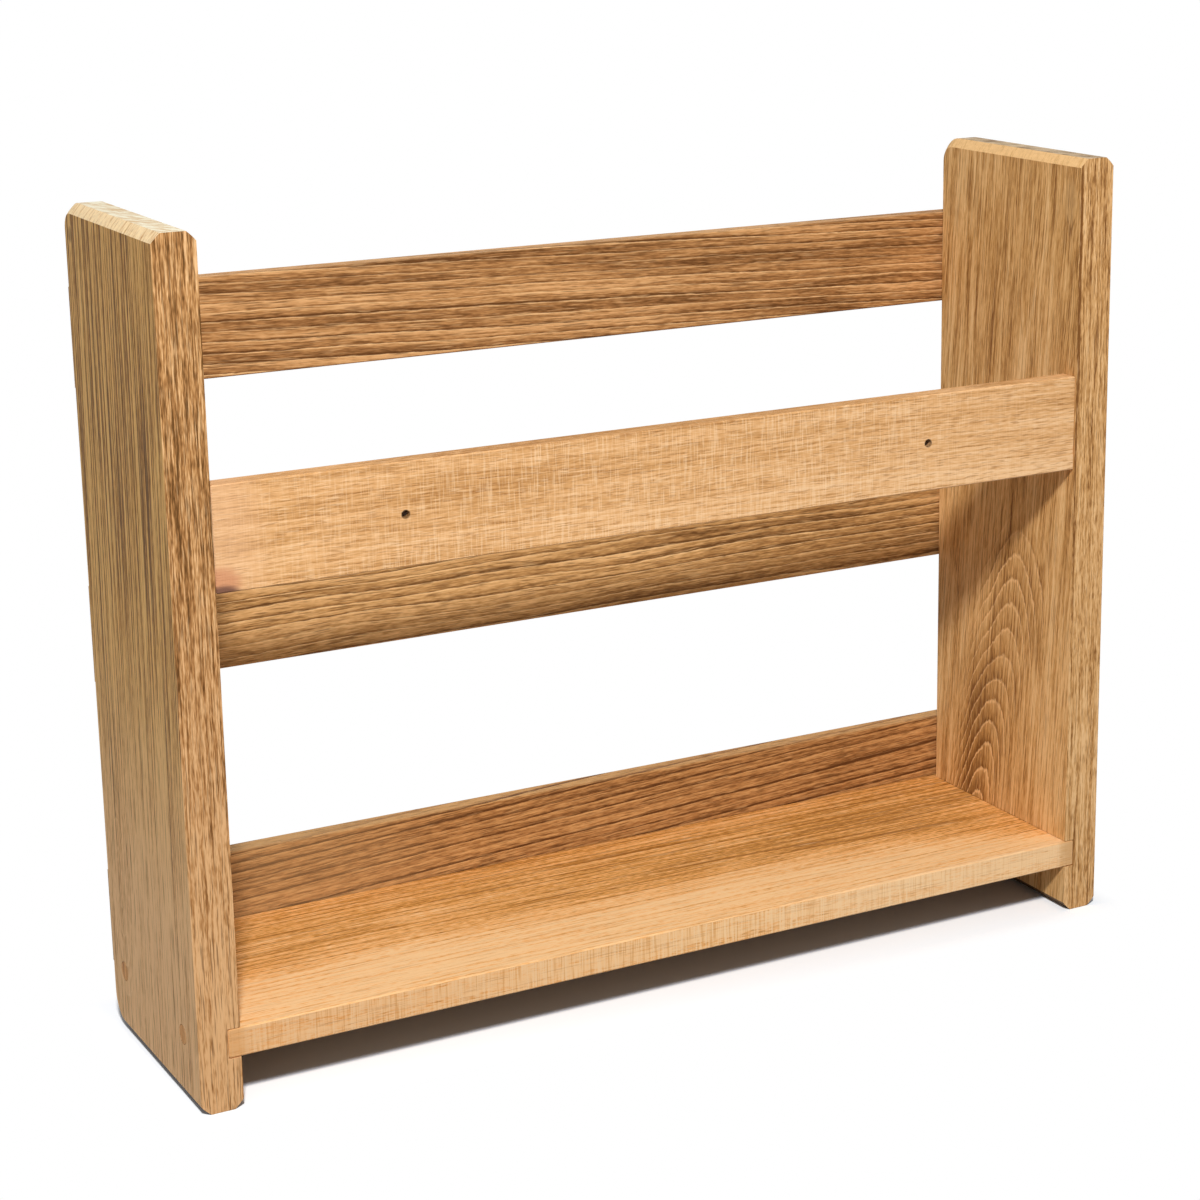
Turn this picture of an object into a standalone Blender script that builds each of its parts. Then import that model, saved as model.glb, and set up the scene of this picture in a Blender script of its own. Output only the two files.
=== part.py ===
"""Wall-hung wooden bookshelf: two side panels, one shelf, three front slats and a wall rail.

Metres, +Z up. The origin is at the bottom centre. -Y faces the wall, +Y the room.
"""
import math

import bmesh
import bpy
from mathutils import Matrix, Vector

# Side panels
OVERALL_WIDTH = 0.500
PANEL_HEIGHT = 0.400
PANEL_DEPTH = 0.126
PANEL_THICKNESS = 0.020
EDGE_CHAMFER = 0.0044
CHAMFER_STEPS = 4
CHAMFER_ROUNDING = 0.28
TOP_CORNER_RADIUS = 0.012
FOOT_CORNER_RADIUS = 0.016
CORNER_STEPS = 8

# Shelf, housed in a groove in each panel
SHELF_THICKNESS = 0.014
SHELF_LIFT = 0.025
HOUSING_DEPTH = 0.006

# Slats across the panels' room-side edges
SLAT_NAMES = ("bottom", "middle", "top")
SLAT_HEIGHT = 0.0484
SLAT_THICKNESS = 0.0105
SLAT_END_INSET = 0.004
TOP_SLAT_DROP = 0.0406

# Rail between the panels' wall-side edges
RAIL_HEIGHT = 0.0484
RAIL_THICKNESS = 0.0105
RAIL_DROP = 0.110
WALL_HOLE_DIAMETER = 0.004
WALL_HOLE_SPACING = 0.280

# Countersunk screws under wood plugs
PLUG_DIAMETER = 0.009
PLUG_LENGTH = 0.004
SCREW_DIAMETER = 0.004
SCREW_HEAD_DIAMETER = 0.0076
SCREW_HEAD_HEIGHT = 0.0022
SCREW_TIP_LENGTH = 0.004
SCREW_SLOT_WIDTH = 0.0011
SCREW_SLOT_DEPTH = 0.0010
SHELF_SCREW_BITE = 0.020
SHELF_SCREW_EDGE = 0.021
SLAT_SCREW_BITE = 0.018
SLAT_SCREW_EDGE = 0.012

# Dowels in the rail's ends
DOWEL_DIAMETER = 0.006
DOWEL_CHAMFER = 0.0007
DOWEL_IN_RAIL = 0.014
DOWEL_IN_PANEL = 0.012
DOWEL_EDGE = 0.011

# Fits and finish
FIT_GAP = 0.0003
EASED_EDGE = 0.0006
ROUND_SIDES = 16
CUT_OVERSHOOT = 0.002
WELD = 0.00001

# Sizes that follow
OVERALL_DEPTH = PANEL_DEPTH + FIT_GAP + SLAT_THICKNESS
WALL_Y = -OVERALL_DEPTH / 2
PANEL_EDGE_Y = WALL_Y + PANEL_DEPTH
SLAT_BACK_Y = PANEL_EDGE_Y + FIT_GAP
ROOM_Y = SLAT_BACK_Y + SLAT_THICKNESS
PANEL_X = OVERALL_WIDTH / 2 - PANEL_THICKNESS / 2
INNER_X = OVERALL_WIDTH / 2 - PANEL_THICKNESS
SHELF_END_X = INNER_X + HOUSING_DEPTH - FIT_GAP
SHELF_Z = SHELF_LIFT + SHELF_THICKNESS / 2
RAIL_END_X = INNER_X - FIT_GAP
RAIL_Y = WALL_Y + RAIL_THICKNESS / 2
RAIL_Z = PANEL_HEIGHT - RAIL_DROP - RAIL_HEIGHT / 2
SLAT_LENGTH = OVERALL_WIDTH - 2 * SLAT_END_INSET
SLAT_Y = SLAT_BACK_Y + SLAT_THICKNESS / 2
BOTTOM_SLAT_Z = SHELF_LIFT + SLAT_HEIGHT / 2
TOP_SLAT_Z = PANEL_HEIGHT - TOP_SLAT_DROP - SLAT_HEIGHT / 2
SLAT_PITCH = (TOP_SLAT_Z - BOTTOM_SLAT_Z) / (len(SLAT_NAMES) - 1)
SEAT_DEPTH = PLUG_LENGTH + FIT_GAP
SHELF_SCREW_LENGTH = PANEL_THICKNESS - HOUSING_DEPTH + FIT_GAP - SEAT_DEPTH + SHELF_SCREW_BITE
SLAT_SCREW_LENGTH = SLAT_THICKNESS + FIT_GAP - SEAT_DEPTH + SLAT_SCREW_BITE
SIDES = {"left": -1, "right": 1}

# Colours of the finished wood and metal, linear RGB
PANEL_COLOUR = (0.34, 0.17, 0.062)
SHELF_COLOUR = (0.54, 0.28, 0.105)
RAIL_COLOUR = (0.62, 0.37, 0.16)
SLAT_COLOUR = (0.30, 0.135, 0.047)
PLUG_COLOUR = (0.33, 0.15, 0.055)
DOWEL_COLOUR = (0.66, 0.47, 0.27)
SCREW_COLOUR = (0.72, 0.52, 0.20)


def clear_scene():
    for obj in list(bpy.data.objects):
        bpy.data.objects.remove(obj)


def make_collection(name):
    collection = bpy.data.collections.new(name)
    bpy.context.scene.collection.children.link(collection)
    return collection


def make_material(name, colour, roughness, metallic=0.0):
    material = bpy.data.materials.new(name)
    material.use_nodes = True
    shader = material.node_tree.nodes["Principled BSDF"]
    shader.inputs["Base Color"].default_value = (*colour, 1.0)
    shader.inputs["Roughness"].default_value = roughness
    shader.inputs["Metallic"].default_value = metallic
    return material


clear_scene()
PARTS = make_collection("bookshelf")
CUTTERS = make_collection("cutters")
ROOT = bpy.data.objects.new("bookshelf", None)
PARTS.objects.link(ROOT)


def add_part(name, mesh, material, location, rotation=None):
    """A sub-part with its own material, parented to the bookshelf's empty."""
    obj = bpy.data.objects.new(name, mesh)
    PARTS.objects.link(obj)
    if not mesh.materials:
        mesh.materials.append(material)
    obj.location = location
    if rotation is not None:
        obj.rotation_euler = rotation
    obj.parent = ROOT
    return obj


def add_cutter(name, mesh, location, rotation=None):
    obj = bpy.data.objects.new(name, mesh)
    CUTTERS.objects.link(obj)
    obj.location = location
    if rotation is not None:
        obj.rotation_euler = rotation
    obj.hide_render = True
    obj.display_type = "WIRE"
    return obj


def cut(obj, cutter):
    """Take the cutter's shape out of a board."""
    boolean = obj.modifiers.new(cutter.name, "BOOLEAN")
    boolean.operation = "DIFFERENCE"
    boolean.solver = "EXACT"
    boolean.object = cutter


def box_mesh(name, size):
    bm = bmesh.new()
    bmesh.ops.create_cube(bm, size=1.0, matrix=Matrix.Diagonal((*size, 1.0)))
    mesh = bpy.data.meshes.new(name)
    bm.to_mesh(mesh)
    bm.free()
    return mesh


def add_board(name, size, location, material):
    """A plain board with its arrises eased."""
    board = add_part(name, box_mesh(name, size), material, location)
    bevel = board.modifiers.new("eased edges", "BEVEL")
    bevel.width = EASED_EDGE
    bevel.segments = 1
    bevel.limit_method = "ANGLE"
    return board


def cylinder_mesh(name, diameter, length):
    """A cylinder along Z, centred."""
    bm = bmesh.new()
    radius = diameter / 2
    bmesh.ops.create_cone(bm, cap_ends=True, segments=ROUND_SIDES, radius1=radius, radius2=radius, depth=length)
    mesh = bpy.data.meshes.new(name)
    bm.to_mesh(mesh)
    bm.free()
    return mesh


def facing(direction):
    """The rotation that turns +Z to the given direction."""
    return Vector(direction).to_track_quat("Z", "Y").to_euler()


def turned_mesh(name, profile, slot=None):
    """A turned solid: radius and depth pairs, from the axis at the top down to the axis at the tip."""
    outline = bpy.data.meshes.new(name + " outline")
    points = [(radius, 0.0, -depth) for radius, depth in profile]
    edges = [(i, i + 1) for i in range(len(points) - 1)]
    outline.from_pydata(points, edges, [])
    turned = bpy.data.objects.new(name + " turned", outline)
    CUTTERS.objects.link(turned)
    spin = turned.modifiers.new("turned", "SCREW")
    spin.axis = "Z"
    spin.steps = ROUND_SIDES
    spin.render_steps = ROUND_SIDES
    spin.use_merge_vertices = True
    spin.merge_threshold = WELD
    if slot is not None:
        cut(turned, slot)
    graph = bpy.context.evaluated_depsgraph_get()
    mesh = bpy.data.meshes.new_from_object(turned.evaluated_get(graph))
    mesh.name = name
    bpy.data.objects.remove(turned)
    return mesh


def panel_mesh(name):
    """A board with its room-side corners rounded and soft chamfers on its top, foot and room-side edges."""
    bm = bmesh.new()
    size = Matrix.Diagonal((PANEL_THICKNESS, PANEL_DEPTH, PANEL_HEIGHT, 1.0))
    bmesh.ops.create_cube(bm, size=1.0, matrix=size)
    room_y = PANEL_DEPTH / 2
    for end, radius in ((1, TOP_CORNER_RADIUS), (-1, FOOT_CORNER_RADIUS)):
        end_z = end * PANEL_HEIGHT / 2
        corner = [
            edge for edge in bm.edges
            if all(abs(v.co.y - room_y) < WELD and abs(v.co.z - end_z) < WELD for v in edge.verts)
        ]
        bmesh.ops.bevel(
            bm, geom=corner, offset=radius, offset_type="OFFSET", segments=CORNER_STEPS,
            profile=0.5, affect="EDGES",
        )
    arrises = [
        edge for edge in bm.edges
        if abs(edge.verts[0].co.x - edge.verts[1].co.x) < WELD
        and not all(abs(v.co.y + room_y) < WELD for v in edge.verts)
    ]
    bmesh.ops.bevel(
        bm, geom=arrises, offset=EDGE_CHAMFER, offset_type="OFFSET", segments=CHAMFER_STEPS,
        profile=CHAMFER_ROUNDING, affect="EDGES",
    )
    mesh = bpy.data.meshes.new(name)
    bm.to_mesh(mesh)
    bm.free()
    return mesh


def add_side_panels():
    panels = {}
    groove_height = SHELF_THICKNESS + 2 * FIT_GAP
    groove_depth = PANEL_DEPTH + 2 * CUT_OVERSHOOT
    for side, sign in SIDES.items():
        wood = make_material("panel wood " + side, PANEL_COLOUR, 0.55)
        name = "side_panel_" + side
        location = (sign * PANEL_X, WALL_Y + PANEL_DEPTH / 2, PANEL_HEIGHT / 2)
        panel = add_part(name, panel_mesh(name), wood, location)
        groove_width = HOUSING_DEPTH + CUT_OVERSHOOT
        groove_x = sign * (INNER_X - CUT_OVERSHOOT + groove_width / 2)
        groove = add_cutter(
            "housing " + side, box_mesh("housing " + side, (groove_width, groove_depth, groove_height)),
            (groove_x, location[1], SHELF_Z),
        )
        cut(panel, groove)
        panels[side] = panel
    return panels


def add_shelf():
    wood = make_material("shelf wood", SHELF_COLOUR, 0.55)
    size = (2 * SHELF_END_X, PANEL_DEPTH, SHELF_THICKNESS)
    return add_board("bottom_shelf", size, (0.0, WALL_Y + PANEL_DEPTH / 2, SHELF_Z), wood)


def add_wall_rail():
    """The rail that hangs the bookshelf, with two through holes for wall screws."""
    wood = make_material("rail wood", RAIL_COLOUR, 0.62)
    size = (2 * RAIL_END_X, RAIL_THICKNESS, RAIL_HEIGHT)
    rail = add_board("wall_rail", size, (0.0, RAIL_Y, RAIL_Z), wood)
    drill = cylinder_mesh("wall hole", WALL_HOLE_DIAMETER, RAIL_THICKNESS + 2 * CUT_OVERSHOOT)
    for side, sign in SIDES.items():
        place = (sign * WALL_HOLE_SPACING / 2, RAIL_Y, RAIL_Z)
        cut(rail, add_cutter("wall hole " + side, drill, place, facing((0, 1, 0))))
    return rail


def add_slats():
    slats = {}
    for step, level in enumerate(SLAT_NAMES):
        wood = make_material("slat wood " + level, SLAT_COLOUR, 0.52)
        size = (SLAT_LENGTH, SLAT_THICKNESS, SLAT_HEIGHT)
        place = (0.0, SLAT_Y, BOTTOM_SLAT_Z + step * SLAT_PITCH)
        slats[level] = add_board("slat_" + level, size, place, wood)
    return slats


def add_rail_dowels(panels, rail):
    """Two dowels at each end of the rail, let into the rail and the panel."""
    wood = make_material("dowel wood", DOWEL_COLOUR, 0.6)
    length = DOWEL_IN_RAIL + FIT_GAP + DOWEL_IN_PANEL
    pin = cylinder_mesh("rail dowel", DOWEL_DIAMETER, length)
    hole = cylinder_mesh("dowel hole", DOWEL_DIAMETER + 2 * FIT_GAP, length + 2 * FIT_GAP)
    offset = RAIL_HEIGHT / 2 - DOWEL_EDGE
    centre_x = INNER_X + DOWEL_IN_PANEL - length / 2
    for side, sign in SIDES.items():
        for level, up in (("lower", -1), ("upper", 1)):
            label = side + "_" + level
            place = (sign * centre_x, RAIL_Y, RAIL_Z + up * offset)
            turn = facing((sign, 0, 0))
            dowel = add_part("rail_dowel_" + label, pin, wood, place, turn)
            bevel = dowel.modifiers.new("chamfered ends", "BEVEL")
            bevel.width = DOWEL_CHAMFER
            bevel.segments = 1
            bevel.limit_method = "ANGLE"
            bevel.angle_limit = math.radians(60)
            cutter = add_cutter("dowel hole " + label, hole, place, turn)
            cut(panels[side], cutter)
            cut(rail, cutter)


def screw_profile(length, gap=0.0):
    """Countersunk screw from the middle of its head to its tip, grown by a gap for its hole."""
    head = SCREW_HEAD_DIAMETER / 2 + gap
    shank = SCREW_DIAMETER / 2 + gap
    return [
        (head, SEAT_DEPTH),
        (shank, SEAT_DEPTH + SCREW_HEAD_HEIGHT),
        (shank, SEAT_DEPTH + length - SCREW_TIP_LENGTH),
        (0.0, SEAT_DEPTH + length + gap),
    ]


def screw_mesh(name, length):
    slot_size = (SCREW_HEAD_DIAMETER + 2 * CUT_OVERSHOOT, SCREW_SLOT_WIDTH, 2 * SCREW_SLOT_DEPTH)
    slot = add_cutter(name + " slot", box_mesh(name + " slot", slot_size), (0.0, 0.0, -SEAT_DEPTH))
    return turned_mesh(name, [(0.0, SEAT_DEPTH)] + screw_profile(length), slot)


def screw_hole_mesh(name, length):
    """The plug's bore and, below it, the screw's seat and hole."""
    bore = PLUG_DIAMETER / 2 + FIT_GAP
    mouth = [(0.0, -CUT_OVERSHOOT), (bore, -CUT_OVERSHOOT), (bore, SEAT_DEPTH)]
    return turned_mesh(name, mouth + screw_profile(length, FIT_GAP))


class Fastener:
    """A screw under a plug, repeated wherever a board is fixed to another."""

    def __init__(self, name, length, boards_wood):
        self.name = name
        self.screw = screw_mesh(name + " screw", length)
        self.hole = screw_hole_mesh(name + " hole", length)
        self.plug = cylinder_mesh(name + " plug", PLUG_DIAMETER, PLUG_LENGTH)
        self.brass = make_material(name + " screw brass", SCREW_COLOUR, 0.35, 1.0)
        self.wood = boards_wood

    def add(self, label, face_point, outward, boards):
        """Sink one screw at a point of a face, through the boards, and plug it flush."""
        outward = Vector(outward)
        turn = facing(outward)
        add_part(self.name + "_screw_" + label, self.screw, self.brass, face_point, turn)
        plug_centre = Vector(face_point) - outward * PLUG_LENGTH / 2
        add_part(self.name + "_plug_" + label, self.plug, self.wood, plug_centre, turn)
        cutter = add_cutter(self.name + " hole " + label, self.hole, face_point, turn)
        for board in boards:
            cut(board, cutter)


def add_shelf_screws(panels, shelf):
    plug_wood = make_material("shelf plug wood", PLUG_COLOUR, 0.6)
    fastener = Fastener("shelf", SHELF_SCREW_LENGTH, plug_wood)
    rows = {"wall": WALL_Y + SHELF_SCREW_EDGE, "room": PANEL_EDGE_Y - SHELF_SCREW_EDGE}
    for side, sign in SIDES.items():
        for row, y in rows.items():
            place = (sign * OVERALL_WIDTH / 2, y, SHELF_Z)
            fastener.add(side + "_" + row, place, (sign, 0, 0), (panels[side], shelf))


def add_slat_screws(panels, slats):
    plug_wood = make_material("slat plug wood", PLUG_COLOUR, 0.6)
    fastener = Fastener("slat", SLAT_SCREW_LENGTH, plug_wood)
    offset = SLAT_HEIGHT / 2 - SLAT_SCREW_EDGE
    for level, slat in slats.items():
        for side, sign in SIDES.items():
            for row, up in (("lower", -1), ("upper", 1)):
                place = (sign * PANEL_X, ROOM_Y, slat.location.z + up * offset)
                label = level + "_" + side + "_" + row
                fastener.add(label, place, (0, 1, 0), (slat, panels[side]))


side_panels = add_side_panels()
bottom_shelf = add_shelf()
wall_rail = add_wall_rail()
front_slats = add_slats()
add_rail_dowels(side_panels, wall_rail)
add_shelf_screws(side_panels, bottom_shelf)
add_slat_screws(side_panels, front_slats)
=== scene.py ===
"""Looks of the slatted bookshelf: camera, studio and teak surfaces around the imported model."""
import math
from dataclasses import dataclass

import bpy
from mathutils import Matrix, Vector


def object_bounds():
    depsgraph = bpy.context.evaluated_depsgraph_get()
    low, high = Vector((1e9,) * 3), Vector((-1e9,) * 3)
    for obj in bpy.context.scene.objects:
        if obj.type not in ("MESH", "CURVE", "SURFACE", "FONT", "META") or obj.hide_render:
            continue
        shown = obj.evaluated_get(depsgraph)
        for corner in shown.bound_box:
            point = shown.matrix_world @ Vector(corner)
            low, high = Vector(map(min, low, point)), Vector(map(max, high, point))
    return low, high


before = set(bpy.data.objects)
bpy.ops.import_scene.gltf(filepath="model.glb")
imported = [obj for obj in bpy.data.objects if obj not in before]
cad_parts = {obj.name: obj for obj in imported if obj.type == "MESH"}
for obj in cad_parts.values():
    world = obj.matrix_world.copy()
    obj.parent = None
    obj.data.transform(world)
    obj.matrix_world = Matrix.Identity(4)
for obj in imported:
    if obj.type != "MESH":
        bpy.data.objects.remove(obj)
cad_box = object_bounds()

MM = 1000.0

# Camera, as the photograph was taken: metres, radians, and millimetres for lens and sensor.
CAMERA_PLACE = (-0.6095, -1.1781, 0.5598)
CAMERA_YAW = 0.5143
CAMERA_PITCH = -0.2518
CAMERA_ROLL = 0.0089
CAMERA_LENS = 82.88
SENSOR_WIDTH = 36.0
CAMERA_SHIFT = (-0.0945, -0.0484)

# Studio: one key light in front, above and to the left, and an even white fill.
KEY_PLACE = (-0.70, -1.38, 1.57)
KEY_AIM = (0.0, 0.0, 0.18)
KEY_SIZE = 0.22
KEY_POWER = 41.0
KEY_COLOUR = (1.0, 0.965, 0.91)
FILL_STRENGTH = 0.22
FILL_COLOUR = (0.95, 0.985, 1.0, 1.0)
WHITE = (1.0, 1.0, 1.0, 1.0)

# Floor: size and drop below the feet in metres, and its colour for scattered light and for the eye, with
# a darker painted shade seen under the shelf.
FLOOR_SIZE = 6.0
FLOOR_DROP = 0.0002
FLOOR_COLOUR = (0.45, 0.45, 0.45, 1.0)
FLOOR_SEEN = (1.2, 1.26, 1.36, 1.0)
# Painted shade: the darker floor colour seen under the shelf.
FLOOR_PAINTED_SHADE = (0.62, 0.68, 0.8, 1.0)
# Ranges in millimetres: the painted shade on the floor under the shelf, and the fade to white around the
# object.
PAINTED_SHADE_FROM = (-50.0, -46.0)
PAINTED_SHADE_SOFT = 4.0
PAINTED_SHADE_INSET = (6.0, 12.0)
FLOOR_FADE = (2.0, 16.0)

# Sockets of a node that mixes two colours.
MIX_FIRST = 6
MIX_SECOND = 7
MIX_RESULT = 2


def srgb(red, green, blue):
    """A linear colour from the usual 0 to 255 scale."""
    def linear(value):
        value /= 255.0
        return value / 12.92 if value <= 0.04045 else ((value + 0.055) / 1.055) ** 2.4
    return (linear(red), linear(green), linear(blue), 1.0)


class Signal:
    """One number that varies over a surface. Arithmetic on it adds nodes to its graph."""

    def __init__(self, graph, socket):
        self.graph = graph
        self.socket = socket

    def __add__(self, other):
        return self.graph.math("ADD", self, other)

    def __sub__(self, other):
        return self.graph.math("SUBTRACT", self, other)

    def __rsub__(self, other):
        return self.graph.math("SUBTRACT", other, self)

    def __mul__(self, other):
        return self.graph.math("MULTIPLY", self, other)

    def __truediv__(self, other):
        return self.graph.math("DIVIDE", self, other)

    __radd__ = __add__
    __rmul__ = __mul__

    def root(self):
        return self.graph.math("SQRT", self)

    def size(self):
        return self.graph.math("ABSOLUTE", self)

    def floor(self):
        return self.graph.math("FLOOR", self)

    def fract(self):
        return self.graph.math("FRACT", self)

    def at_least(self, other):
        return self.graph.math("MAXIMUM", self, other)

    def rise(self, low, high):
        """0 below low, 1 above high and a smooth step between. Falls where low is above high."""
        node = self.graph.add("ShaderNodeMapRange", interpolation_type="SMOOTHSTEP")
        self.graph.put(node.inputs["Value"], self)
        node.inputs["From Min"].default_value = low
        node.inputs["From Max"].default_value = high
        return Signal(self.graph, node.outputs["Result"])


class Graph:
    """The emptied node tree of a material or a world, with short names for the nodes that it uses."""

    def __init__(self, owner):
        owner.use_nodes = True
        self.owner = owner
        self.tree = owner.node_tree
        self.tree.nodes.clear()

    def add(self, kind, **settings):
        node = self.tree.nodes.new(kind)
        for key, value in settings.items():
            setattr(node, key, value)
        return node

    def put(self, socket, value):
        """Links a signal or a socket to an input, or sets the input to a constant."""
        if isinstance(value, Signal):
            value = value.socket
        if isinstance(value, bpy.types.NodeSocket):
            self.tree.links.new(value, socket)
        else:
            socket.default_value = value

    def math(self, operation, *values):
        node = self.add("ShaderNodeMath", operation=operation)
        for socket, value in zip(node.inputs, values):
            self.put(socket, value)
        return Signal(self, node.outputs[0])

    def split(self, socket):
        node = self.add("ShaderNodeSeparateXYZ")
        self.put(node.inputs[0], socket)
        return [Signal(self, output) for output in node.outputs]

    def join(self, *values):
        node = self.add("ShaderNodeCombineXYZ")
        for socket, value in zip(node.inputs, values):
            self.put(socket, value)
        return node.outputs[0]

    def place_and_facing(self):
        """Where a point is on the object, in millimetres, and which way its surface faces."""
        node = self.add("ShaderNodeTexCoord")
        place = [value * MM for value in self.split(node.outputs["Object"])]
        return place, self.split(node.outputs["Normal"])

    def noise_node(self, place, detail, roughness):
        node = self.add("ShaderNodeTexNoise")
        self.put(node.inputs["Vector"], self.join(*place))
        node.inputs["Scale"].default_value = 1.0
        node.inputs["Detail"].default_value = detail
        node.inputs["Roughness"].default_value = roughness
        return node

    def noise(self, *place, detail=2.0, roughness=0.5):
        """Smooth noise from about -1 to 1, one lump to a unit of place."""
        node = self.noise_node(place, detail, roughness)
        return self.math("MULTIPLY_ADD", Signal(self, node.outputs[0]), 2.0, -1.0)

    def noise_pair(self, *place, detail=1.0, roughness=0.5):
        """Two unlike noises from one node."""
        node = self.noise_node(place, detail, roughness)
        first, second, _ = self.split(node.outputs["Color"])
        return first * 2.0 - 1.0, second * 2.0 - 1.0

    def lot(self, value):
        """A fixed random number from 0 to 1 for each value."""
        node = self.add("ShaderNodeTexWhiteNoise", noise_dimensions="1D")
        self.put(node.inputs["W"], value)
        return Signal(self, node.outputs["Value"])

    def ramp(self, value, stops):
        """A colour for a number, blended between stops of place and colour."""
        node = self.add("ShaderNodeValToRGB")
        self.put(node.inputs[0], value)
        elements = node.color_ramp.elements
        while len(elements) < len(stops):
            elements.new(1.0)
        for element, (position, colour) in zip(elements, stops):
            element.position = position
            element.color = colour
        return node.outputs["Color"]

    def mix(self, share, first, second, blend="MIX"):
        """The first colour, with a share of the second over it."""
        node = self.add("ShaderNodeMix", data_type="RGBA", blend_type=blend)
        self.put(node.inputs["Factor"], share)
        self.put(node.inputs[MIX_FIRST], first)
        self.put(node.inputs[MIX_SECOND], second)
        return node.outputs[MIX_RESULT]

    def finish(self, colour, roughness, height, specular, bump_depth, metallic=0.0):
        """Closes a material's tree with one surface shader and hands over the material."""
        shader = self.add("ShaderNodeBsdfPrincipled")
        bump = self.add("ShaderNodeBump")
        bump.inputs["Strength"].default_value = 1.0
        bump.inputs["Distance"].default_value = bump_depth
        self.put(bump.inputs["Height"], height)
        self.put(shader.inputs["Base Color"], colour)
        self.put(shader.inputs["Roughness"], roughness)
        shader.inputs["Metallic"].default_value = metallic
        shader.inputs["Specular IOR Level"].default_value = specular
        self.put(shader.inputs["Normal"], bump.outputs["Normal"])
        output = self.add("ShaderNodeOutputMaterial")
        self.put(output.inputs["Surface"], shader.outputs["BSDF"])
        return self.owner

    def finish_mixed(self, output_kind, share, first, second):
        """Closes the tree with two shaders and the share of the second."""
        mixed = self.add("ShaderNodeMixShader")
        self.put(mixed.inputs[0], share)
        self.put(mixed.inputs[1], first.outputs[0])
        self.put(mixed.inputs[2], second.outputs[0])
        output = self.add(output_kind)
        self.put(output.inputs["Surface"], mixed.outputs[0])
        return self.owner


@dataclass
class Board:
    """How one board was sawn from its log, and how its surface looks. Lengths in millimetres."""

    axes: str                       # across the face, through the board, along the grain
    pith: tuple                     # across and through place of the log's heart
    palette: tuple                  # colours from darkest to lightest
    pale: tuple                     # colour of the pale lines, flecks and worn edges
    lean: tuple = (0.0, 0.0)        # the heart's slope across and through, per length along
    centre: float = 0.0             # place along where pith and lean are taken
    spacing: float = 4.5            # between growth rings
    wander: tuple = (2.5, 22.0, 170.0)  # amount of the rings' waves, their width and length
    jag: tuple = (0.7, 0.9, 9.0)    # amount of the grain's torn edges, their width and length
    arches: tuple = ()              # rings at one end only: from and to along, half width, darkness
    streak: float = 4.5             # width of the streaks of straight grain, and on the narrow sides
    side_streak: float = 2.0
    level: float = 0.5              # mean tone, 0 darkest and 1 lightest
    narrow: float = 0.0             # change of tone on the board's narrow sides
    painted_light_drift: tuple = ()               # painted light and shade along the board, lighter past the second place: from, to, amount
    zone: tuple = ()                # paler wood: edge across, where it curves, curve, softness, lift
    tint: tuple = ()                # cast of the broad faces: from and to along, strength, colour
    side_tint_and_shade: tuple = ()           # cast of the narrow sides in the same way; on the shelf it is also painted shade
    ring: float = 0.2               # weight of the shade across each ring
    stripe: float = 0.7             # weight of the uneven stripes that follow the rings
    side_stripe: float = 0.4        # weight of the straight streaks on the narrow sides
    fibre: float = 0.7              # weight of the fibres that follow the grain, and their length
    fibre_length: float = 45.0
    fibre_lean: float = 0.0         # slope of the fibres
    dark_line: float = 0.2          # strength of the dark and the pale line at each ring
    pale_line: float = 0.4
    line_width: float = 0.1         # half width of the pale line, as a share of the ring
    speckle: float = 0.3            # weight of the fine grit, and what the narrow sides add to it
    side_speckle: float = 0.0
    pore: float = 0.6               # strength of the dark pores and pale flecks, and their length
    fleck: float = 0.4
    pore_length: float = 25.0
    saw: tuple = ()                 # saw marks: strength, middle, reach along, width, length
    saw_sides: bool = False         # saw marks on the narrow sides, not on the broad faces
    ends: tuple = (0.0, 222.0)      # middle of the board along it, and how far from there its ends begin
    end_grain: float = 0.6          # strength of the end grain, and its colours
    end_colours: tuple = (srgb(222, 192, 150), srgb(255, 250, 236))
    worn: float = 0.5               # strength of the worn edges, and their colour if not the pale one
    worn_colour: tuple = ()
    foot_shade: tuple = ()                # painted shade on the bevels round the feet: height, strength, colour
    marks: tuple = ()               # streaks, and on the shelf a broad painted shade: across, along, slope, half width, half length, strength
    side_marks: tuple = ()          # streaks on the narrow sides, placed through and along
    stains_and_shade: tuple = ()              # spots, stains and painted shade in holes: across, along, half width, half length, strength, colour


# Which part of a board a point is on, from how squarely its surface faces that way.
ON_FACE = (0.5, 0.9)
ON_SIDE = (0.7, 0.95)
ON_END = (0.9, 0.97)
ON_BEVEL = (0.98, 0.9)

# Fine grain, in millimetres. The offsets keep pores and flecks apart, the ranges set how many there are.
FIBRE_WIDTH = 1.1
SPECKLE_WIDTH = 0.6
SPECKLE_LENGTH = 4.5
PORE_WIDTH = 0.7
PORE_OFFSET = 31.0
PORE_RANGE = (0.08, 0.38)
FLECK_OFFSET = 77.0
FLECK_RANGE = (0.12, 0.42)

# Growth rings: the reach of the dark line in a ring, each layer's own draw and its least strength.
RING_MIDDLE = 0.5
DARK_REACH = (0.35, 0.04)
SHADE_DRAW = 0.3
PALE_DRAW = 0.6
SHADE_LEAST = 0.4
DARK_LEAST = 0.1
PALE_LEAST = 0.6

# Stripes and streaks in millimetres, and how the arches fade at their sides and cover the streaks.
STRIPE_WIDTH = 7.0
STRIPE_DEPTH = 40.0
STRIPE_LENGTH = 180.0
STREAK_LENGTH = 170.0
ARCH_CORE = 0.4
ARCH_COVER = 0.7

# Shares of a mark's, spot's or saw patch's reach at full strength, and how the fibres break them up.
MARK_CORE = 0.3
SPOT_CORE = 0.2
SAW_CORE = 0.2
UNBROKEN = 0.8
SPOT_RAGGED = 0.3

# A distance in millimetres that no mark reaches.
FAR = 1000.0

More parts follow.
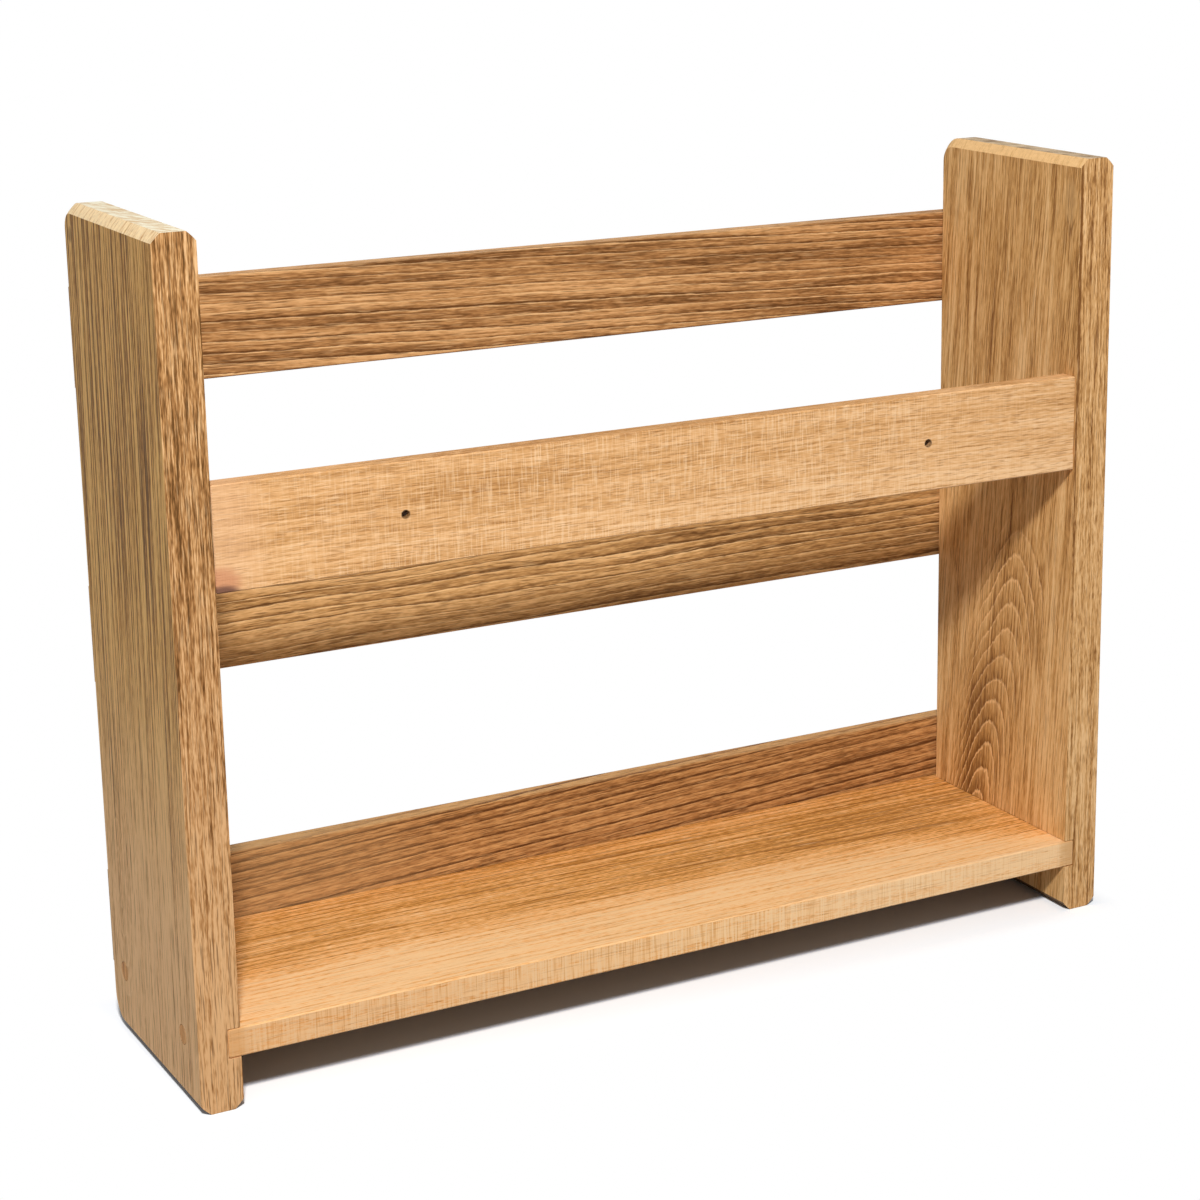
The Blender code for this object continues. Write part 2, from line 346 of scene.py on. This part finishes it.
# Saw marks: size of the patches in millimetres and their strength, and the range of the ticks.
PATCH_LENGTH = 60.0
PATCH_WIDTH = 25.0
PATCH_MEAN = 0.8
PATCH_VARIES = 0.4
PALE_TICK = (-0.05, 0.4)
DARK_TICK = (-0.05, -0.4)
DARK_TICK_SHARE = 0.6

# Worn edges: slope and size of their cuts, the greater wear across the grain, and the fade of the painted
# shade round a foot.
CUT_SLOPE = 0.4
CUT_WIDTH = 1.8
CUT_LENGTH = 9.0
CUT_RANGE = (-0.55, 0.1)
ACROSS_GRAIN = (0.1, 0.5)
WEAR_LEAST = 0.35
WEAR_ACROSS = 0.65
FOOT_SHADE_SOFT = 2.0

# End grain: slope and size of its scratches, and the depth over which it begins.
SCRATCH_SLOPE = 0.5
SCRATCH_WIDTH = 1.5
SCRATCH_LENGTH = 14.0
SCRATCH_RANGE = (-0.3, 0.25)
END_SOFT = 1.0

# Surface of all wood: relief in metres, what rises and sinks in it, gloss and roughness.
WOOD_BUMP = 0.00011
FIBRE_RELIEF = 0.5
SPECKLE_RELIEF = 0.2
PORE_RELIEF = 0.6
FLECK_RELIEF = 0.3
WOOD_SPECULAR = 0.12
WOOD_ROUGHNESS = 0.58
FIBRE_ROUGHNESS = 0.10
PORE_ROUGHNESS = 0.10

# Tones of a palette's four colours.
TONE_STOPS = (0.05, 0.4, 0.6, 0.95)


class Wood:
    """The surface of one board: the places, facings and fine noises that its layers share."""

    def __init__(self, name, board):
        self.board = board
        self.graph = graph = Graph(bpy.data.materials.new(name))
        place, facing = graph.place_and_facing()
        order = ["xyz".index(axis) for axis in board.axes]
        self.u, self.v, self.g = u, v, g = [place[index] for index in order]
        facing_u, facing_v, facing_g = (facing[index].size() for index in order)
        self.facing_g = facing_g
        self.on_face = facing_v.rise(*ON_FACE)
        self.on_side = facing_u.rise(*ON_SIDE)
        flat = facing_v.at_least((facing_u * facing_u + facing_g * facing_g).root())
        self.on_bevel = flat.rise(*ON_BEVEL)

        amount, width, length = board.wander
        shift_u, shift_v = graph.noise_pair(u / width, v / width, g / length)
        self.wavy_u = u + shift_u * amount
        self.wavy_v = v + shift_v * amount
        self.fibre_u = self.wavy_u - g * board.fibre_lean
        amount, width, length = board.jag
        self.jag = graph.noise(u / width, v / width, g / length) * amount
        place = (self.fibre_u / FIBRE_WIDTH, self.wavy_v / FIBRE_WIDTH, g / board.fibre_length)
        self.fibre = graph.noise(*place, detail=3.0, roughness=0.7)
        place = (self.fibre_u / SPECKLE_WIDTH, v / SPECKLE_WIDTH, g / SPECKLE_LENGTH)
        self.speckle = graph.noise(*place, detail=1.0)
        self.pores = self.dashes(PORE_OFFSET).rise(*PORE_RANGE)
        self.flecks = self.dashes(FLECK_OFFSET).rise(*FLECK_RANGE)

    def dashes(self, offset):
        """Noise of short thin dashes along the grain."""
        across = self.fibre_u / PORE_WIDTH + offset
        along = self.g / self.board.pore_length
        return self.graph.noise(across, self.v / PORE_WIDTH, along, detail=1.5)

    def rings(self):
        """Growth rings: distance across and from the heart, their tone and their pale lines."""
        board, lot = self.board, self.graph.lot
        run = self.g - board.centre
        from_u = self.wavy_u - (run * board.lean[0] + board.pith[0])
        from_v = self.wavy_v - (run * board.lean[1] + board.pith[1])
        radius = (from_u * from_u + from_v * from_v).root() + self.jag
        phase = radius / board.spacing
        number = phase.floor()
        within = phase.fract()
        from_middle = within - RING_MIDDLE
        shade = from_middle * (lot(number + SHADE_DRAW) + SHADE_LEAST) * board.ring
        dark = within.rise(*DARK_REACH) * (lot(number) + DARK_LEAST) * board.dark_line
        from_line = RING_MIDDLE - from_middle.size()
        pale = from_line.rise(board.line_width, 0.0) * (lot(number + PALE_DRAW) + PALE_LEAST)
        return from_u, radius, shade - dark, pale

    def ring_stripes(self):
        """Tone and pale lines of a board with rings all over: uneven stripes follow them."""
        _, radius, tone, pale = self.rings()
        place = (radius / STRIPE_WIDTH, self.wavy_v / STRIPE_DEPTH, self.g / STRIPE_LENGTH)
        stripe = self.graph.noise(*place, detail=5.0, roughness=0.68)
        return tone + stripe * self.board.stripe, pale

    def straight_grain(self):
        """Tone and pale lines of a board with straight streaks, and the rings' arches at one end."""
        board = self.board
        from_u, _, tone, pale = self.rings()
        low, high, half_width, darkness = board.arches
        across = (self.fibre_u + self.jag) / board.streak
        place = (across, self.wavy_v / board.side_streak, self.g / STREAK_LENGTH)
        weight = self.on_side * (board.side_stripe - board.stripe) + board.stripe
        streaks = self.graph.noise(*place, detail=5.0, roughness=0.66) * weight
        inside = from_u.size().rise(half_width, half_width * ARCH_CORE)
        inside = inside * self.g.rise(low, high) * self.on_face
        return streaks * (1.0 - inside * ARCH_COVER) + (tone - darkness) * inside, pale * inside

    def add_zone(self, tone):
        """Paler wood below a line across the board, which curves away beyond a place along it."""
        at, start, curve, softness, lift = self.board.zone
        beyond = (self.g - start).at_least(0.0)
        off = self.wavy_u - at + beyond * beyond * curve
        return tone + off.rise(softness, -softness) * lift

    def add_marks(self, tone, marks, across):
        """Single streaks, dark ones or, with a strength below 0, pale ones, and a broad patch of painted
        shade.
        """
        for at, middle, slope, half_width, half_length, strength in marks:
            run = self.g - middle
            off = (across - at - run * slope) / half_width
            shape = off.size().rise(1.0, 0.0) * (run / half_length).size().rise(1.0, MARK_CORE)
            tone = tone - shape * (self.fibre + UNBROKEN) * strength
        return tone

    def tone(self):
        """How light the wood is, as a place in its palette, and the share of its pale lines."""
        board = self.board
        tone, pale = self.straight_grain() if board.arches else self.ring_stripes()
        tone = tone + self.fibre * board.fibre + self.on_side * board.narrow + board.level
        tone = tone + self.speckle * (self.on_side * board.side_speckle + board.speckle)
        # Painted light and shade: the tone rises towards one end of the board.
        if board.painted_light_drift:
            low, high, amount = board.painted_light_drift
            tone = tone + self.g.rise(low, high) * amount
        if board.zone:
            tone = self.add_zone(tone)
        tone = self.add_marks(tone, board.marks, self.wavy_u)
        # Only the narrow sides keep their true place. All else is moved too far off for a mark.
        side_v = self.v + (1.0 - self.on_side) * FAR
        return self.add_marks(tone, board.side_marks, side_v), pale

    def grain_colour(self):
        """The tone's colour, with the pale lines, flecks and pores over it."""
        board, mix = self.board, self.graph.mix
        tone, pale = self.tone()
        colour = self.graph.ramp(tone, list(zip(TONE_STOPS, board.palette)))
        colour = mix(pale * (self.fibre + UNBROKEN) * board.pale_line, colour, board.pale)
        colour = mix(self.flecks * board.fleck, colour, board.pale)
        return mix(self.pores * board.pore, colour, board.palette[0])

    def add_saw_marks(self, colour, height):
        """Pale and dark ticks across the grain, in patches, which show in the relief too."""
        board, graph = self.board, self.graph
        u, v, g = self.u, self.v, self.g
        strength, middle, reach, width, length = board.saw
        patch = ((g - middle) / reach).size().rise(1.0, SAW_CORE)
        patch = patch * (self.on_side if board.saw_sides else self.on_face)
        uneven = graph.noise(g / PATCH_LENGTH, u / PATCH_WIDTH, v / PATCH_WIDTH)
        patch = patch * (uneven * PATCH_VARIES + PATCH_MEAN)
        ticks = graph.noise(g / width, u / length, v / length, detail=1.0)
        colour = graph.mix(ticks.rise(*PALE_TICK) * patch * strength, colour, board.pale)
        dark = ticks.rise(*DARK_TICK) * patch * strength * DARK_TICK_SHARE
        return graph.mix(dark, colour, board.palette[1]), height + ticks * patch

    def add_cast_and_shade(self, colour, tint, where):
        """A cast that comes in along the board, on its faces or its sides; on the shelf's sides it is
        painted shade as well.
        """
        if not tint:
            return colour
        low, high, strength, cast = tint
        return self.graph.mix(self.g.rise(low, high) * where * strength, colour, cast, "MULTIPLY")

    def add_worn_edges(self, colour):
        """Pale cut edges, and painted shade on the bevels low round a foot."""
        board, mix = self.board, self.graph.mix
        place = ((self.u - self.g * CUT_SLOPE) / CUT_WIDTH, self.v / CUT_LENGTH, self.g / CUT_LENGTH)
        cut = self.graph.noise(*place, detail=3.0, roughness=0.65)
        edge = self.on_bevel * (self.facing_g.rise(*ACROSS_GRAIN) * WEAR_ACROSS + WEAR_LEAST)
        edge_colour = mix(cut.rise(*CUT_RANGE), board.palette[2], board.worn_colour or board.pale)
        colour = mix(edge * board.worn, colour, edge_colour)
        # Painted shade: the bevels in the lowest few millimetres of a foot are darkened.
        if board.foot_shade:
            reach, strength, cast = board.foot_shade
            low = self.g.rise(reach, reach - FOOT_SHADE_SOFT)
            colour = mix(low * self.on_bevel * strength, colour, cast)
        return colour

    def add_end_grain(self, colour):
        """Scratched wood on the board's two ends."""
        board, mix = self.board, self.graph.mix
        u, v, g = self.u, self.v, self.g
        place = (
            (u * SCRATCH_SLOPE + v) / SCRATCH_WIDTH,
            (u - v * SCRATCH_SLOPE) / SCRATCH_LENGTH,
            g / SCRATCH_LENGTH,
        )
        scratches = self.graph.noise(*place, detail=3.0, roughness=0.7)
        end_colour = mix(scratches.rise(*SCRATCH_RANGE), *board.end_colours)
        middle, reach = board.ends
        at_end = (g - middle).size().rise(reach - END_SOFT, reach) * self.facing_g.rise(*ON_END)
        return mix(at_end * board.end_grain, colour, end_colour)

    def add_stains_and_shade(self, colour):
        """Single coloured spots with ragged edges: stains, and painted shade in the rail's holes."""
        for at, middle, half_width, half_length, strength, spot_colour in self.board.stains_and_shade:
            off_u = (self.u - at) / half_width
            off_g = (self.g - middle) / half_length
            off = off_u * off_u + off_g * off_g + self.fibre * SPOT_RAGGED
            colour = self.graph.mix(off.rise(1.0, SPOT_CORE) * strength, colour, spot_colour)
        return colour

    def material(self):
        """All layers in order, closed to one material."""
        board = self.board
        colour = self.grain_colour()
        height = self.fibre * FIBRE_RELIEF + self.speckle * SPECKLE_RELIEF
        height = height - self.pores * PORE_RELIEF + self.flecks * FLECK_RELIEF
        if board.saw:
            colour, height = self.add_saw_marks(colour, height)
        colour = self.add_cast_and_shade(colour, board.tint, self.on_face)
        colour = self.add_cast_and_shade(colour, board.side_tint_and_shade, self.on_side)
        colour = self.add_worn_edges(colour)
        colour = self.add_end_grain(colour)
        colour = self.add_stains_and_shade(colour)
        roughness = self.fibre * FIBRE_ROUGHNESS + self.pores * PORE_ROUGHNESS + WOOD_ROUGHNESS
        return self.graph.finish(colour, roughness, height, WOOD_SPECULAR, WOOD_BUMP)


# What the boards share, and a range along a board that all of it lies beyond.
# Painted shade inside the rail's two holes.
HOLE_PAINTED_SHADE = srgb(36, 23, 14)
# Painted shade on the bevels round the feet.
FOOT_PAINTED_SHADE = (8.0, 0.9, srgb(76, 46, 18))
SLAT_ENDS = (srgb(128, 88, 50), srgb(208, 160, 106))
EVERYWHERE = (-2.0, -1.0)

# The boards, one for each node of that name. Places are the model's own, in millimetres.
BOARDS = {
    "side_panel_left": Board(
        axes="yxz", pith=(34.0, -262.0), lean=(0.0, 0.3), centre=40.0, spacing=4.5,
        arches=(170.0, 90.0, 50.0, 0.0), streak=1.8, side_streak=1.6, fibre_lean=-0.03,
        wander=(1.0, 22.0, 200.0), jag=(0.25, 0.9, 10.0), ends=(200.0, 192.0),
        level=0.6, narrow=-0.15, painted_light_drift=(300.0, 30.0, 0.46),
        ring=0.1, stripe=2.5, side_stripe=1.0, fibre=0.9, fibre_length=75.0, dark_line=0.15,
        pale_line=0.25, speckle=0.5, side_speckle=0.1, pore=0.6, fleck=0.4, pore_length=28.0,
        palette=(srgb(104, 70, 35), srgb(170, 121, 72), srgb(200, 151, 98), srgb(238, 193, 142)),
        pale=srgb(250, 212, 162),
        tint=(60.0, 230.0, 1.0, (0.96, 0.93, 0.66, 1.0)),
        side_tint_and_shade=(340.0, 140.0, 1.0, (0.86, 0.81, 0.78, 1.0)),
        end_grain=1.0, end_colours=(srgb(216, 180, 132), srgb(255, 252, 230)),
        worn=0.85, worn_colour=srgb(255, 230, 186), foot_shade=FOOT_PAINTED_SHADE,
        marks=(
            (34.0, 70.0, -0.15, 26.0, 110.0, 0.22),
            (-34.0, 110.0, -0.1, 18.0, 110.0, -0.2),
            (44.0, 250.0, 0.0, 1.5, 120.0, 0.3),
            (36.0, 240.0, -0.02, 1.2, 110.0, 0.3),
            (28.0, 220.0, -0.03, 1.2, 100.0, 0.3),
            (5.0, 260.0, 0.0, 1.2, 90.0, 0.3),
            (-10.0, 250.0, 0.0, 1.0, 100.0, 0.3),
            (-24.0, 240.0, 0.0, 1.0, 100.0, 0.25),
        ),
        stains_and_shade=((46.0, 386.0, 4.0, 4.5, 0.5, srgb(96, 68, 36)),),
    ),
    "side_panel_right": Board(
        axes="yxz", pith=(-6.5, 260.0), lean=(-0.25, 0.23), centre=118.0, spacing=3.2,
        arches=(220.0, 165.0, 40.0, 0.2), streak=7.0, side_streak=1.6, fibre_lean=-0.08,
        wander=(2.0, 20.0, 90.0), jag=(0.6, 2.0, 5.0), ends=(200.0, 192.0),
        level=0.54, narrow=-0.08, painted_light_drift=(330.0, 100.0, 0.15),
        ring=0.35, stripe=0.85, side_stripe=1.2, fibre=0.85, fibre_length=80.0, dark_line=0.15,
        pale_line=0.95, line_width=0.12, speckle=0.35, side_speckle=0.1, pore=0.5, pore_length=20.0,
        palette=(srgb(130, 86, 43), srgb(193, 144, 86), srgb(218, 170, 110), srgb(242, 200, 144)),
        pale=srgb(246, 200, 142),
        side_tint_and_shade=(*EVERYWHERE, 1.0, (1.0, 0.98, 1.02, 1.0)),
        end_grain=0.9, end_colours=(srgb(122, 92, 60), srgb(238, 214, 178)),
        worn=0.8, worn_colour=srgb(250, 206, 148), foot_shade=FOOT_PAINTED_SHADE,
        marks=(
            (42.0, 320.0, 0.0, 15.0, 170.0, -0.12),
            (28.5, 330.0, 0.0, 1.8, 110.0, 0.3),
            (24.0, 300.0, 0.0, 1.6, 130.0, -0.3),
            (20.5, 330.0, 0.0, 1.2, 110.0, 0.3),
            (7.0, 340.0, -0.03, 7.0, 100.0, 0.25),
            (-32.0, 326.0, -0.28, 1.3, 45.0, -0.4),
            (-24.0, 300.0, -0.26, 1.1, 40.0, -0.35),
            (-17.0, 292.0, -0.22, 1.0, 36.0, -0.3),
            (-59.5, 366.0, 0.5, 1.0, 6.0, 0.45),
            (-62.5, 366.0, -0.5, 1.0, 6.0, 0.35),
            (16.0, 70.0, -0.1, 22.0, 70.0, 0.44),
            (-48.0, 120.0, 0.0, 18.0, 110.0, -0.14),
        ),
        side_marks=((231.0, 300.0, 0.0, 1.6, 170.0, 0.6), (239.0, 300.0, 0.0, 3.5, 60.0, -0.2)),
        stains_and_shade=((-60.0, 378.0, 7.0, 14.0, 0.35, srgb(222, 182, 128)),),
    ),
    "bottom_shelf": Board(
        axes="yzx", pith=(-300.0, 60.0), spacing=4.4, wander=(3.0, 30.0, 260.0), jag=(0.5, 0.9, 12.0),
        level=0.44, narrow=0.06, painted_light_drift=(40.0, -150.0, 0.06), zone=(-20.0, 70.0, 0.0011, 16.0, 0.47),
        ring=0.15, stripe=0.5, fibre=0.75, fibre_length=50.0, dark_line=0.3, pale_line=0.1,
        speckle=0.6, side_speckle=0.2, pore=0.25, fleck=0.3,
        saw=(1.0, -20.0, 420.0, 0.75, 20.0), saw_sides=True,
        palette=(srgb(158, 102, 42), srgb(214, 152, 78), srgb(248, 182, 111), srgb(255, 211, 157)),
        pale=srgb(255, 219, 172),
        # Painted shade with a reddish cast: the shelf's front and back edges darken towards the left end.
        side_tint_and_shade=(200.0, -260.0, 1.0, (0.84, 0.77, 0.74, 1.0)),
        worn=0.6, worn_colour=srgb(204, 148, 90),
        marks=(
            (35.6, 18.0, 0.0, 2.6, 80.0, 0.4),
            (12.9, -147.0, 0.0, 1.4, 26.0, 0.4),
            (6.3, -187.0, 0.0, 1.8, 42.0, 0.4),
            (1.6, -47.0, 0.0, 1.5, 36.0, 0.6),
            (2.3, 80.0, -0.05, 2.0, 85.0, 0.5),
            (-8.0, 150.0, -0.06, 2.4, 90.0, 0.45),
            (-29.0, 40.0, -0.02, 1.8, 90.0, 0.35),
            # Painted shade: a broad darkening at the far right of the shelf, in the corner by the bottom
            # slat and the right panel.
            (20.0, 190.0, 0.0, 30.0, 120.0, 0.14),
        ),
        side_marks=((31.0, 227.8, 0.0, 0.9, 1.4, 1.2), (36.0, 215.0, 0.0, 0.6, 6.0, 0.5)),
        stains_and_shade=(
            (-69.0, 260.0, 5.0, 260.0, 0.35, srgb(252, 216, 174)),
            (-69.0, 239.0, 4.0, 15.0, 0.7, srgb(208, 160, 106)),
            (-69.0, -239.0, 4.0, 15.0, 0.6, srgb(216, 160, 102)),
        ),
    ),
    "wall_rail": Board(
        axes="zyx", pith=(180.0, -60.0), lean=(-0.01, 0.0), spacing=2.6,
        level=0.48, narrow=0.02, painted_light_drift=(-120.0, 230.0, 0.16), zone=(258.0, 300.0, 0.0, 6.0, 0.14),
        ring=0.2, stripe=0.6, fibre=0.5, fibre_length=45.0, dark_line=0.2, pale_line=0.1,
        speckle=0.3, pore=0.55, pore_length=8.0,
        saw=(0.5, -10.0, 300.0, 0.65, 12.0),
        palette=(srgb(168, 114, 62), srgb(211, 159, 103), srgb(230, 178, 123), srgb(249, 205, 157)),
        pale=srgb(255, 220, 178), worn=0.2,
        stains_and_shade=(
            (266.0, -246.0, 80.0, 46.0, 0.4, srgb(238, 192, 152)),
            (246.0, -228.0, 9.0, 12.0, 0.75, srgb(206, 140, 104)),
            (241.5, -227.0, 4.5, 10.0, 0.9, srgb(112, 78, 66)),
            (252.0, 230.5, 4.0, 2.4, 0.7, srgb(226, 152, 92)),
            # Painted shade: the rail's two holes are darkened inside and round their rims.
            (265.8, -140.0, 2.6, 2.6, 0.95, HOLE_PAINTED_SHADE),
            (265.8, 140.0, 2.6, 2.6, 0.95, HOLE_PAINTED_SHADE),
        ),
    ),
    "slat_top": Board(
        axes="zyx", pith=(252.0, 30.0), lean=(-0.035, 0.0), fibre_lean=-0.035, spacing=4.4,
        jag=(0.55, 0.8, 7.0), level=0.44, narrow=0.39, painted_light_drift=(220.0, -220.0, 0.14),
        ring=0.25, stripe=0.95, fibre=0.45, fibre_length=70.0, dark_line=0.55,
        pale_line=0.85, line_width=0.1, speckle=0.4, pore_length=14.0,
        palette=(srgb(102, 64, 32), srgb(160, 112, 67), srgb(188, 137, 86), srgb(226, 174, 120)),
        pale=srgb(240, 194, 140), end_colours=SLAT_ENDS, worn=0.35,
        marks=(
            (347.9, 0.0, -0.028, 3.6, 280.0, 0.25),
            (330.0, 0.0, -0.042, 4.0, 280.0, 0.35),
            (318.5, -120.0, -0.045, 2.8, 140.0, 0.3),
            (323.5, -60.0, -0.04, 3.4, 170.0, -0.2),
        ),
    ),
    "slat_middle": Board(
        axes="zyx", pith=(120.0, 40.0), lean=(0.005, 0.0), spacing=5.2, wander=(4.0, 16.0, 150.0),
        jag=(0.65, 0.9, 7.0), level=0.46, narrow=0.39, painted_light_drift=(160.0, -220.0, 0.23),
        ring=0.25, stripe=0.65, fibre=0.42, fibre_length=70.0, dark_line=0.5,
        pale_line=0.8, line_width=0.09, speckle=0.4, pore_length=14.0,
        palette=(srgb(108, 73, 39), srgb(166, 122, 74), srgb(194, 148, 93), srgb(231, 184, 128)),
        pale=srgb(242, 200, 144), end_colours=SLAT_ENDS, worn=0.35,
        marks=(
            (200.0, -150.0, 0.0, 1.8, 60.0, 0.5),
            (199.8, 125.0, -0.008, 2.2, 120.0, 0.55),
            (174.0, 0.0, 0.0, 7.0, 280.0, 0.06),
            (195.5, -40.0, 0.0, 1.2, 100.0, -0.35),
            (192.5, 75.0, 0.0, 1.6, 65.0, 0.35),
        ),
    ),
    "slat_bottom": Board(
        axes="zyx", pith=(-30.0, 20.0), lean=(0.05, 0.0), fibre_lean=0.05, spacing=4.5,
        wander=(1.2, 22.0, 220.0), jag=(0.35, 0.8, 8.0),
        level=0.49, narrow=0.4, painted_light_drift=(40.0, -220.0, 0.1),
        ring=0.3, stripe=0.45, fibre=0.55, fibre_length=70.0, dark_line=0.9,
        pale_line=0.1, speckle=0.45, pore_length=14.0,
        palette=(srgb(98, 60, 30), srgb(160, 112, 66), srgb(187, 136, 84), srgb(218, 168, 110)),
        pale=srgb(228, 180, 124), end_colours=SLAT_ENDS, worn=0.35,
        marks=((58.0, 205.0, 0.0, 5.5, 60.0, 0.3),),
        stains_and_shade=((50.0, -240.0, 80.0, 190.0, 0.3, srgb(174, 146, 106)),),
    ),
}

# The wood of all plugs, and of all dowels.
PLUG = Board(
    axes="yxz", pith=(-90.0, -90.0), spacing=2.2, wander=(0.6, 8.0, 40.0),
    level=0.66, ring=0.3, stripe=0.8, fibre=0.8, pale_line=0.2, worn=0.0, end_grain=0.0,
    palette=(srgb(128, 80, 38), srgb(184, 126, 70), srgb(208, 148, 88), srgb(236, 182, 122)),
    pale=srgb(240, 194, 138),
)
DOWEL = Board(
    axes="zyx", pith=(0.0, -200.0), spacing=1.8, wander=(0.4, 8.0, 30.0),
    ring=0.2, stripe=0.6, fibre=0.6, pale_line=0.1, end_grain=0.5,
    palette=(srgb(178, 138, 92), srgb(204, 166, 118), srgb(218, 184, 138), srgb(234, 206, 166)),
    pale=srgb(240, 216, 180),
)

# Brass: size of its turning marks and clouds in millimetres, their weight in its colour, and its surface.
TURNING_SIZE = 0.25
TURNING_WEIGHT = 0.2
CLOUD_SIZE = 3.0
CLOUD_WEIGHT = 0.6
BRASS_LEVEL = 0.5
BRASS_STOPS = ((0.3, srgb(176, 132, 62)), (0.7, srgb(228, 190, 110)))
BRASS_ROUGHNESS = 0.34
TURNING_ROUGHNESS = 0.10
BRASS_SPECULAR = 0.5
BRASS_BUMP = 0.00003


def screw_brass():
    """Bright drawn brass with fine turning marks and slow clouds."""
    graph = Graph(bpy.data.materials.new("drawn_brass"))
    place, _ = graph.place_and_facing()
    turning = graph.noise(*(value / TURNING_SIZE for value in place), detail=3.0, roughness=0.6)
    cloud = graph.noise(*(value / CLOUD_SIZE for value in place))
    colour = graph.ramp(cloud * CLOUD_WEIGHT + turning * TURNING_WEIGHT + BRASS_LEVEL, BRASS_STOPS)
    roughness = turning * TURNING_ROUGHNESS + BRASS_ROUGHNESS
    return graph.finish(colour, roughness, turning, BRASS_SPECULAR, BRASS_BUMP, metallic=1.0)


def paint(node, material):
    """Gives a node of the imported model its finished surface."""
    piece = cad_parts[node]
    for slot in piece.material_slots:
        slot.material = material


def add_camera():
    """The camera at the photograph's place and angle."""
    data = bpy.data.cameras.new("photo_camera")
    data.lens = CAMERA_LENS
    data.sensor_width = SENSOR_WIDTH
    data.shift_x, data.shift_y = CAMERA_SHIFT
    camera = bpy.data.objects.new("photo_camera", data)
    bpy.context.scene.collection.objects.link(camera)
    turn = (
        Matrix.Rotation(-CAMERA_YAW, 4, "Z")
        @ Matrix.Rotation(CAMERA_PITCH, 4, "X")
        @ Matrix.Rotation(CAMERA_ROLL, 4, "Y")
        @ Matrix.Rotation(math.radians(90.0), 4, "X")
    )
    camera.matrix_world = Matrix.Translation(CAMERA_PLACE) @ turn
    bpy.context.scene.camera = camera


def seen_directly(graph):
    """1 for camera, mirror and see-through rays, 0 for the rays that carry scattered light."""
    node = graph.add("ShaderNodeLightPath")
    names = ("Is Camera Ray", "Is Glossy Ray", "Is Transmission Ray")
    first, second, third = (Signal(graph, node.outputs[name]) for name in names)
    return first.at_least(second).at_least(third)


def floor_material():
    """White paper that keeps the shadow close to the object, is darkened with painted shade under the
    shelf, and fades to plain white around it.
    """
    graph = Graph(bpy.data.materials.new("studio_paper"))
    (x, y, _), _ = graph.place_and_facing()
    half_x = cad_box[1].x * MM
    half_y = cad_box[1].y * MM
    off_x = (x.size() - half_x).at_least(0.0)
    off_y = (y.size() - half_y).at_least(0.0)
    away = (off_x * off_x + off_y * off_y).root()
    seen = seen_directly(graph)
    # Painted shade: the floor seen under the shelf, between the panels and behind the front edge's shadow
    # line, is darkened.
    inset = (half_x - x.size()).rise(*PAINTED_SHADE_INSET)
    painted_shade = y.rise(*PAINTED_SHADE_FROM) * y.rise(half_y, half_y - PAINTED_SHADE_SOFT) * inset
    shown = graph.mix(painted_shade, FLOOR_SEEN, FLOOR_PAINTED_SHADE)
    paper = graph.add("ShaderNodeBsdfDiffuse")
    graph.put(paper.inputs["Color"], graph.mix(seen, FLOOR_COLOUR, shown))
    white = graph.add("ShaderNodeEmission")
    share = away.rise(*FLOOR_FADE) * seen
    return graph.finish_mixed("ShaderNodeOutputMaterial", share, paper, white)


def add_floor():
    """A wide plain floor just below the feet."""
    half = FLOOR_SIZE / 2
    corners = [(-half, -half), (half, -half), (half, half), (-half, half)]
    mesh = bpy.data.meshes.new("studio_floor")
    mesh.from_pydata([(x, y, -FLOOR_DROP) for x, y in corners], [], [(0, 1, 2, 3)])
    mesh.materials.append(floor_material())
    floor = bpy.data.objects.new("studio_floor", mesh)
    bpy.context.scene.collection.objects.link(floor)


def add_key_light():
    """A small round lamp that gives the photograph's soft-edged shadows."""
    data = bpy.data.lights.new("key_light", "AREA")
    data.shape = "DISK"
    data.size = KEY_SIZE
    data.energy = KEY_POWER
    data.color = KEY_COLOUR
    light = bpy.data.objects.new("key_light", data)
    bpy.context.scene.collection.objects.link(light)
    aim = Vector(KEY_AIM) - Vector(KEY_PLACE)
    turn = aim.to_track_quat("-Z", "Y").to_matrix().to_4x4()
    light.matrix_world = Matrix.Translation(KEY_PLACE) @ turn


def add_world():
    """An even fill on the object, and plain white where the surroundings are seen directly."""
    world = bpy.data.worlds.new("studio_white")
    bpy.context.scene.world = world
    graph = Graph(world)
    fill = graph.add("ShaderNodeBackground")
    fill.inputs["Color"].default_value = FILL_COLOUR
    fill.inputs["Strength"].default_value = FILL_STRENGTH
    white = graph.add("ShaderNodeBackground")
    white.inputs["Color"].default_value = WHITE
    graph.finish_mixed("ShaderNodeOutputWorld", seen_directly(graph), fill, white)


bpy.context.scene.view_settings.view_transform = "Standard"
add_camera()
add_world()
add_key_light()
add_floor()
for node_name, node_board in BOARDS.items():
    paint(node_name, Wood(node_name + "_teak", node_board).material())
small_parts = {
    "_plug_": Wood("plug_teak", PLUG).material(),
    "_dowel_": Wood("dowel_beech", DOWEL).material(),
    "_screw_": screw_brass(),
}
for node_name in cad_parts:
    for part, part_material in small_parts.items():
        if part in node_name:
            paint(node_name, part_material)
